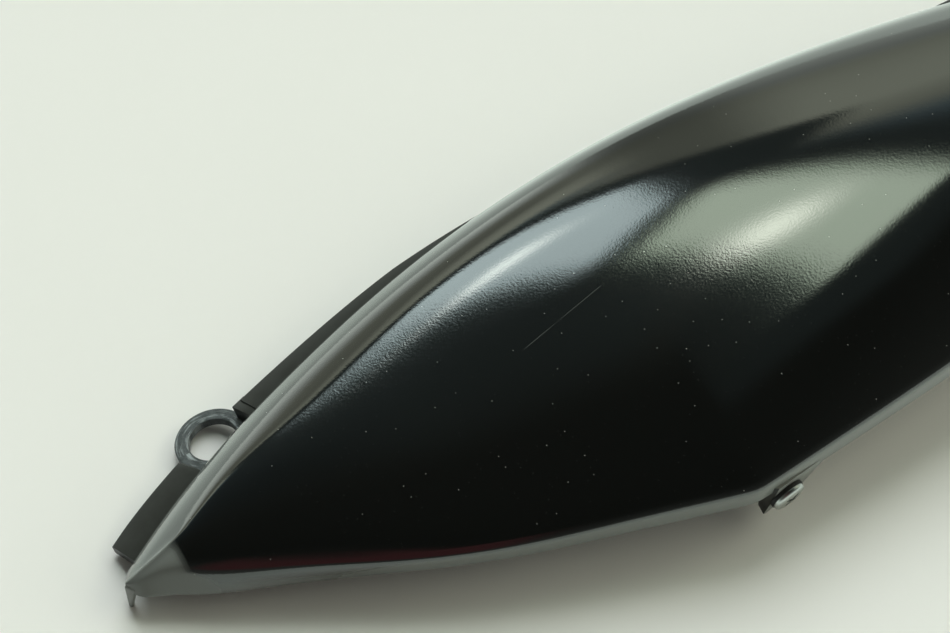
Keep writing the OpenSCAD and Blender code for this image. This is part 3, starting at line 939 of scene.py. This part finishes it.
grey = blend(tree, times(tree, bright, 0.5), grey, coloured(RUBBED))
tree.links.new(grey, shader.inputs["Base Color"])
tree.links.new(ramp(tree, rub, 0.4, 0.75, 0.5, 0.3), shader.inputs["Roughness"])
tree.links.new(bump(cloud, 0.6, 0.00012), shader.inputs["Normal"])
print("ring paint:", len(tree.nodes), "nodes")

# %% [markdown]
# The tab and the prong get a lighter grey, a painted reflection of the pale
# floor as on the side wall. The screw is plated steel with a fine turned grain.
# The washer is rubber, and the ring behind the tab is a pale nylon, which lets
# a little light in.

# %% Grey painted reflection on the tab and the prong
reflection_grey, tree, shader, place = new_material("tab_reflection_grey")
# This grey stands in for the floor's reflection, painted into the colour.
TAB_DARK, TAB_LIGHT = (0.16, 0.17, 0.16), (0.23, 0.245, 0.23)
shade = blend(tree, noise(tree, place, 260.0, 4.0), coloured(TAB_DARK), coloured(TAB_LIGHT))
tree.links.new(shade, shader.inputs["Base Color"])
shader.inputs["Roughness"].default_value = 0.42

# %% Plated steel
steel, tree, shader, place = new_material("plated_steel")
shader.inputs["Base Color"].default_value = coloured((0.56, 0.58, 0.56))
shader.inputs["Metallic"].default_value = 1.0
grained = ramp(tree, noise(tree, place, 900.0, 4.0), 0.3, 0.7, 0.28, 0.42)
tree.links.new(grained, shader.inputs["Roughness"])
tree.links.new(bump(noise(tree, place, 3000.0, 3.0), 0.3, 0.00002), shader.inputs["Normal"])

# %% Rubber and nylon
rubber, tree, shader, place = new_material("black_rubber")
shader.inputs["Base Color"].default_value = coloured((0.012, 0.012, 0.012))
worn_rubber = ramp(tree, noise(tree, place, 700.0, 3.0), 0.3, 0.7, 0.6, 0.75)
tree.links.new(worn_rubber, shader.inputs["Roughness"])

nylon, tree, shader, place = new_material("natural_nylon")
shader.inputs["Base Color"].default_value = coloured((0.72, 0.72, 0.67))
shader.inputs["Roughness"].default_value = 0.4
shader.inputs["Subsurface Weight"].default_value = 0.2
shader.inputs["Subsurface Scale"].default_value = 0.001
print("materials:", len(bpy.data.materials))

# %% [markdown]
# Each piece now gets its paint and its place in the part. `attach` fixes a piece
# to the body it moves with, and `hide_parts` hides the plain CAD node it stands
# for. The tab's side towards the nose gets the satin black as painted shade, so
# its faces are picked by their direction.

# %% Paint the pieces and hand them over
SHADED = -0.5
moulded = [(shell, panel), (ring, worn), (prong, reflection_grey)]
moulded += [(obj, satin_black_and_shade) for obj in [flange, eyelet_wall] + webs + hidden]
bought = [(screw, steel, "plated_steel", "mounting_screw"),
          (washer, rubber, "black_rubber", "rubber_washer"),
          (retainer, nylon, "natural_nylon", "retaining_washer")]


def hand_over(obj, node_name):
    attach(obj, "root")
    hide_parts(node_name)


# The tab's faces towards the nose get the satin black as painted shade, as that side lies in shadow.
tab.data.materials.append(reflection_grey)
tab.data.materials.append(satin_black_and_shade)
for face in tab.data.polygons:
    face.material_index = int(face.normal.dot(Vector(beside)) < SHADED)
hand_over(tab, "side_panel")
for obj, made in moulded:
    obj.data.materials.append(made)
    hand_over(obj, "side_panel")
for obj, made, slot, node_name in bought:
    obj.data.materials.append(made)
    hand_over(obj, node_name)
print("pieces handed over:", 1 + len(moulded) + len(bought))

# %% [markdown]
# The panel rests on a plain pale floor, at the lowest point of the prong and
# the pegs. A matt white floor would mirror black in the gloss where the panel
# shades it. So the gloss sees a plain white floor beyond a few centimetres, as
# a brightly lit one would look, while the eye sees the real, shaded one.

# %% The floor
FLOOR_HALF = 1.5
FLOOR_DARK, FLOOR_LIGHT = (0.825, 0.835, 0.82), (0.85, 0.86, 0.845)
SEEN_FROM, SEEN_FULLY = 0.012, 0.045
bm = bmesh.new()
bmesh.ops.create_grid(bm, x_segments=1, y_segments=1, size=FLOOR_HALF)
for vert in bm.verts:
    vert.co.z = FLOOR
floor = finished(bm, "floor")
pale, tree, shader, place = new_material("pale_floor")
shade = blend(tree, noise(tree, place, 9.0, 4.0), coloured(FLOOR_DARK), coloured(FLOOR_LIGHT))
tree.links.new(shade, shader.inputs["Base Color"])
shader.inputs["Roughness"].default_value = 0.6
path = node(tree, "ShaderNodeLightPath")
far_off = ramp(tree, path.outputs["Ray Length"], SEEN_FROM, SEEN_FULLY)
mirrored = times(tree, path.outputs["Is Glossy Ray"], far_off)
white = node(tree, "ShaderNodeEmission", Color=coloured((0.88, 1.0, 0.9)), Strength=1.0)
both = node(tree, "ShaderNodeMixShader", i0=mirrored, i1=shader.outputs[0], i2=white.outputs[0])
end = next(n for n in tree.nodes if n.type == "OUTPUT_MATERIAL")
tree.links.new(both.outputs[0], end.inputs[0])
floor.data.materials.append(pale)
print("floor at", round(FLOOR * 1000, 2), "mm")

# %% [markdown]
# A gloss black piece shows its surroundings, so the room is the light. Two
# soft boxes hang high behind the panel, under a dark ceiling, and the side of
# the room behind the camera is dark. Area lamps of that shape would also do
# it, but drawn shapes can be fitted line by line to the reflections in the
# photo. A direction divided by its height gives where it meets the ceiling.

# %% Directions and places on the ceiling
world = bpy.data.worlds.new("room")
bpy.context.scene.world = world
world.use_nodes = True
tree = world.node_tree
tree.nodes.clear()
aim = node(tree, "ShaderNodeTexCoord").outputs["Generated"]
to_picture = (0, 0, math.radians(30))
aim = node(tree, "ShaderNodeMapping", {"vector_type": "POINT"}, Vector=aim, Rotation=to_picture).outputs[0]
parts = node(tree, "ShaderNodeSeparateXYZ", Vector=aim)
ax, ay, az = parts.outputs
height = sums(tree, "MAXIMUM", az, 0.08)
cu, cv = sums(tree, "DIVIDE", ax, height), sums(tree, "DIVIDE", ay, height)


def beyond(nu, nv, limit, soft):
    """1 on the far side of a line on the ceiling, 0 before it."""
    reach = sums(tree, "ADD", sums(tree, "MULTIPLY", cu, nu), sums(tree, "MULTIPLY", cv, nv))
    return ramp(tree, reach, limit - soft, limit + soft)


def within_all(*masks):
    total = masks[0]
    for mask in masks[1:]:
        total = sums(tree, "MULTIPLY", total, mask)
    return total

# %% [markdown]
# Each box is what lies on the inner side of a few straight lines, the way a
# shape is cut out of card. A small, brighter spot in each is the bulb behind
# the cloth, and a dark frame around it keeps its border clear.

# %% The two light boxes
first_box = within_all(beyond(0.778, 0.629, 0.21, 0.02), beyond(-0.944, -0.33, -0.073, 0.02),
                       beyond(-1.0, 0.0, 0.215, 0.015), beyond(-0.51, -0.86, -0.855, 0.02),
                       beyond(0.85, 0.527, 0.04, 0.04))
second_box = within_all(beyond(0.795, 0.607, 0.217, 0.015), beyond(1.0, 0.0, -0.175, 0.02),
                        beyond(-0.746, -0.666, -0.42, 0.04), beyond(-0.95, 0.313, -0.072, 0.015),
                        beyond(0.0, 1.0, 0.1, 0.03))
first_frame = within_all(beyond(0.778, 0.629, 0.1, 0.06), beyond(-1.0, 0.0, 0.08, 0.03),
                         beyond(-0.51, -0.86, -1.0, 0.05))
second_frame = within_all(beyond(0.795, 0.607, 0.15, 0.05), beyond(1.0, 0.0, -0.3, 0.04),
                          beyond(-0.746, -0.666, -0.57, 0.07), beyond(-1.0, 0.0, -0.3, 0.06),
                          beyond(0.0, 1.0, 0.05, 0.04))


def bulb(u, v, turn, long, short):
    """A soft bright spot on the ceiling, long in one direction."""
    c, s = math.cos(math.radians(turn)), math.sin(math.radians(turn))
    du, dv = sums(tree, "SUBTRACT", cu, u), sums(tree, "SUBTRACT", cv, v)
    su = sums(tree, "DIVIDE", sums(tree, "ADD", times(tree, du, c), times(tree, dv, s)), long)
    sv = sums(tree, "DIVIDE", sums(tree, "SUBTRACT", times(tree, dv, c), times(tree, du, s)), short)
    away = sums(tree, "ADD", times(tree, su, su), times(tree, sv, sv))
    return sums(tree, "EXPONENT", times(tree, away, -1.0))


first_spot, second_spot = bulb(-0.45, 0.99, 51, 0.06, 0.06), bulb(-0.035, 0.47, 90, 0.06, 0.045)
print("boxes and bulbs:", len(tree.nodes), "nodes so far")

# %% [markdown]
# The rest of the room is bands of brightness from the floor up to the
# ceiling: each band is an angle above the floor, a brightness and a tint. The
# room is drawn apart for the left, the right and the front, where the camera
# stands.

# %% The bands of the room
back = ramp(tree, ay, 0.12, 0.38)
bearing = sums(tree, "DIVIDE", ax, sums(tree, "MAXIMUM", ay, 0.05))
left = ramp(tree, bearing, -0.42, -0.22, 1.0, 0.0)


def heights(stops):
    made = node(tree, "ShaderNodeValToRGB", Fac=sums(tree, "ADD", sums(tree, "MULTIPLY", az, 0.5), 0.5))
    ladder = made.color_ramp.elements
    while len(ladder) > 1:
        ladder.remove(ladder[-1])
    for k, (degrees, value, tint) in enumerate(stops):
        spot = math.sin(math.radians(degrees)) / 2 + 0.5
        step = ladder[0] if k == 0 else ladder.new(spot)
        step.position = spot
        step.color = coloured([value * t for t in tint])
    return made.outputs[0]


green, olive, cool = (0.95, 1.05, 0.95), (1.0, 1.08, 0.86), (0.7, 1.0, 1.08)
left_room = heights([(-90, 0.8, green), (-12, 0.9, green), (-4, 1.0, green), (3, 0.85, green),
                     (8, 0.55, green), (13, 0.24, olive), (19, 0.22, olive), (24, 0.5, olive),
                     (28, 0.62, olive), (31, 0.2, cool), (36, 0.05, cool), (60, 0.02, cool),
                     (75, 0.012, green), (90, 0.006, green)])
right_room = heights([(-90, 0.8, green), (-12, 0.6, green), (0, 0.3, green), (8, 0.25, green),
                      (15, 0.3, olive), (22, 0.4, olive), (30, 0.5, olive), (38, 0.56, olive),
                      (45, 0.4, olive), (50, 0.2, cool), (55, 0.08, cool), (62, 0.02, cool),
                      (75, 0.008, cool), (90, 0.006, green)])
front_room = heights([(-90, 0.7, green), (-5, 0.2, green), (5, 0.08, green), (25, 0.05, green),
                      (45, 0.03, green), (70, 0.006, green), (90, 0.006, green)])

# %% The whole room
BOX_COOL, BULB_COOL = (1.75, 2.15, 2.15), (4.6, 5.1, 4.8)
BOX_WARM, BULB_WARM = (1.75, 2.1, 1.65), (4.6, 5.0, 4.2)
FRAME_DARK, GAP_DARK, CARD_RED = (0.03, 0.042, 0.042), (0.05, 0.055, 0.045), (0.13, 0.035, 0.04)
room = blend(tree, left, right_room, left_room)
dim = within_all(ramp(tree, bearing, -0.34, -0.24), ramp(tree, bearing, -0.2, -0.1, 1.0, 0.0))
room = blend(tree, times(tree, dim, 0.65), room, coloured(GAP_DARK))
room = blend(tree, back, front_room, room)
room = blend(tree, sums(tree, "MAXIMUM", first_frame, second_frame), room, coloured(FRAME_DARK))
room = blend(tree, first_box, room, blend(tree, first_spot, coloured(BOX_COOL), coloured(BULB_COOL)))
room = blend(tree, second_box, room, blend(tree, second_spot, coloured(BOX_WARM), coloured(BULB_WARM)))
across = sums(tree, "ABSOLUTE", sums(tree, "DIVIDE", ax, sums(tree, "MINIMUM", ay, -0.05)))
card = within_all(ramp(tree, ay, -0.25, -0.15, 1.0, 0.0), ramp(tree, az, 0.22, 0.3),
                  ramp(tree, az, 0.86, 0.92, 1.0, 0.0), ramp(tree, across, 0.1, 0.3, 1.0, 0.0))
room = blend(tree, times(tree, card, 0.8), room, coloured(CARD_RED))
glow = node(tree, "ShaderNodeBackground", Color=room, Strength=2.0)
end = node(tree, "ShaderNodeOutputWorld")
tree.links.new(glow.outputs[0], end.inputs[0])
print("the room is", len(tree.nodes), "nodes")

# %% [markdown]
# One wide soft lamp above lights the floor and the duller parts evenly, and a
# weaker, warmer one fills the shadows from the side. Both are kept out of the
# reflections, where the ceiling is dark.

# %% The lamps
def soft_lamp(name, energy, spread, tilt, heading, colour=(1.0, 1.0, 1.0)):
    data = bpy.data.lights.new(name, "SUN")
    data.energy = energy
    data.angle = math.radians(spread)
    data.color = colour
    made = bpy.data.objects.new(name, data)
    bpy.context.scene.collection.objects.link(made)
    made.rotation_euler = (math.radians(tilt), 0, math.radians(heading))
    made.visible_glossy = False
    return made


lamps = [soft_lamp("soft lamp", 1.9, 45, -45, -32),
         soft_lamp("fill lamp", 1.35, 50, -64, -110, (1.0, 1.0, 0.8))]
print("lamps:", [lamp.name for lamp in lamps])

# %% [markdown]
# The picture was taken with a longish lens from above the lower edge, turned
# 30 degrees from the panel's length. The lens follows from the distance and
# from how many pixels of the picture a millimetre takes.

# %% The camera
DISTANCE = 750
PIXELS_PER_MM = 3.5
PICTURE_WIDTH = 950
SENSOR = 36
view = bpy.data.cameras.new("camera")
camera = bpy.data.objects.new("camera", view)
bpy.context.scene.collection.objects.link(camera)
tilt, turn = math.radians(57), math.radians(30)
nose_spot = np.array([-95.369, -78.589, 0.0])


def from_picture(p):
    """A point measured along the picture's right, away and up, in the row frame."""
    d = np.array(p, float) - nose_spot
    c, s = math.cos(turn), math.sin(turn)
    return placed((d[0] * c + d[1] * s, -d[0] * s + d[1] * c, d[2]))


aim_at = np.array([0, 0, 25.0])
to_camera = np.array([0, -math.cos(tilt), math.sin(tilt)])
camera.location = Vector(from_picture(aim_at + to_camera * DISTANCE))
camera.rotation_euler = (math.pi / 2 - tilt, 0, -turn)
view.lens = PIXELS_PER_MM * DISTANCE / PICTURE_WIDTH * SENSOR
view.sensor_width = SENSOR
view.clip_start = 0.01
view.clip_end = 20
bpy.context.scene.camera = camera
scene = bpy.context.scene
scene.view_settings.view_transform = "Standard"
print("camera at", [round(v, 4) for v in camera.location], "lens", round(view.lens, 1))
